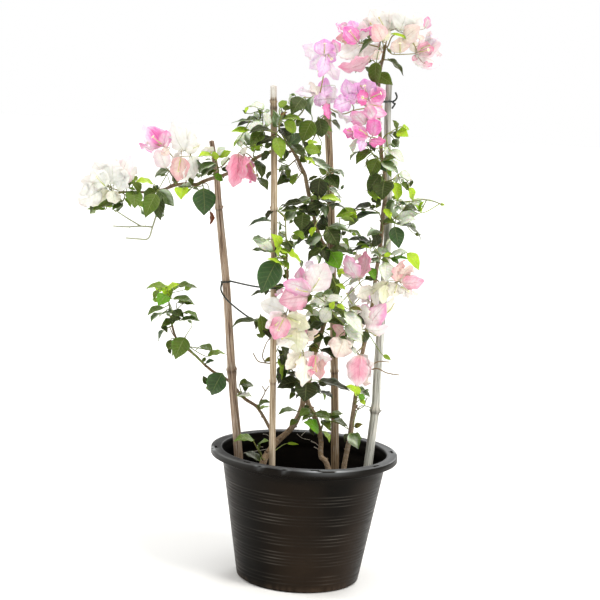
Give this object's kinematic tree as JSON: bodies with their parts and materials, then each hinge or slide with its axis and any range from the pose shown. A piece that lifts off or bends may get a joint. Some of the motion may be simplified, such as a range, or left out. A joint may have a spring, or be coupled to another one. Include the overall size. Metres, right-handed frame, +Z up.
{
  "type": "potted bougainvillea",
  "caption": "Potted bougainvillea trained upright on bamboo stakes in a round black nursery pot, with green leaves and papery white, pink and lilac bracts.",
  "frame": {"origin": "centre of the pot's underside, on the floor", "axes": "+Z up along the pot's axis, -Y towards the side the picture shows, +X to that side's right"},
  "size_m": [0.5694, 0.3, 0.9189],
  "materials": {
    "pot_plastic": "satin",
    "soil": "matte",
    "bamboo": "satin",
    "bark": "matte",
    "leaf": "satin",
    "bract_white": "matte",
    "bract_pink": "matte",
    "bract_lilac": "matte",
    "tie_wire": "satin"
  },
  "bodies": {
    "root": {"pot": "pot_plastic", "potting_mix": "soil", "stake_left_bamboo": "bamboo", "stake_front_cane": "bamboo", "stake_centre_bamboo": "bamboo", "stake_right_bamboo": "bamboo", "stem_left": "bark", "stem_centre": "bark", "stem_right": "bark", "stem_left_arm": "bark", "stem_low_left": "bark", "bare_twig_centre_left": "bark", "bare_twig_left_arm": "bark", "bare_twig_low_left": "bark", "bare_twig_right": "bark", "bract_cluster_left_tip": "bract_white", "bract_cluster_left_upper": "bract_white", "bract_cluster_mid_left": "bract_white", "bract_cluster_mid_low": "bract_pink", "bract_cluster_mid_right": "bract_pink", "bract_cluster_mid_upper": "bract_pink", "bract_cluster_right": "bract_pink", "bract_cluster_top_left": "bract_white", "bract_cluster_top_right": "bract_pink", "bract_cluster_top_white": "bract_white", "bract_cluster_upper_lilac": "bract_lilac", "bract_cluster_upper_pink": "bract_pink", "bract_pair_left_hanging": "bract_pink", "leaf_shoot_base_left": "leaf", "leaf_shoot_centre_left": "leaf", "leaf_shoot_centre_low": "leaf", "leaf_shoot_centre_mid": "leaf", "leaf_shoot_centre_upper": "leaf", "leaf_shoot_crown_centre": "leaf", "leaf_shoot_crown_left": "leaf", "leaf_shoot_crown_lower": "leaf", "leaf_shoot_crown_right": "leaf", "leaf_shoot_left_hanging": "leaf", "leaf_shoot_left_inner": "leaf", "leaf_shoot_left_mid": "leaf", "leaf_shoot_left_tip": "leaf", "leaf_shoot_low_centre": "leaf", "leaf_shoot_low_left_base": "leaf", "leaf_shoot_low_left_mid": "leaf", "leaf_shoot_low_left_top": "leaf", "leaf_shoot_low_right": "leaf", "leaf_shoot_mid_left": "leaf", "leaf_shoot_mid_pale": "leaf", "leaf_shoot_mid_right": "leaf", "leaf_shoot_right_fan": "leaf", "leaf_shoot_right_low": "leaf", "leaf_shoot_right_mid": "leaf", "leaf_shoot_right_top": "leaf", "leaf_shoot_stem_right": "leaf", "leaf_shoot_top": "leaf", "leaf_shoot_under_bracts": "leaf", "tie_wire_left": "tie_wire", "tie_wire_right": "tie_wire"}
  },
  "joints": []
}
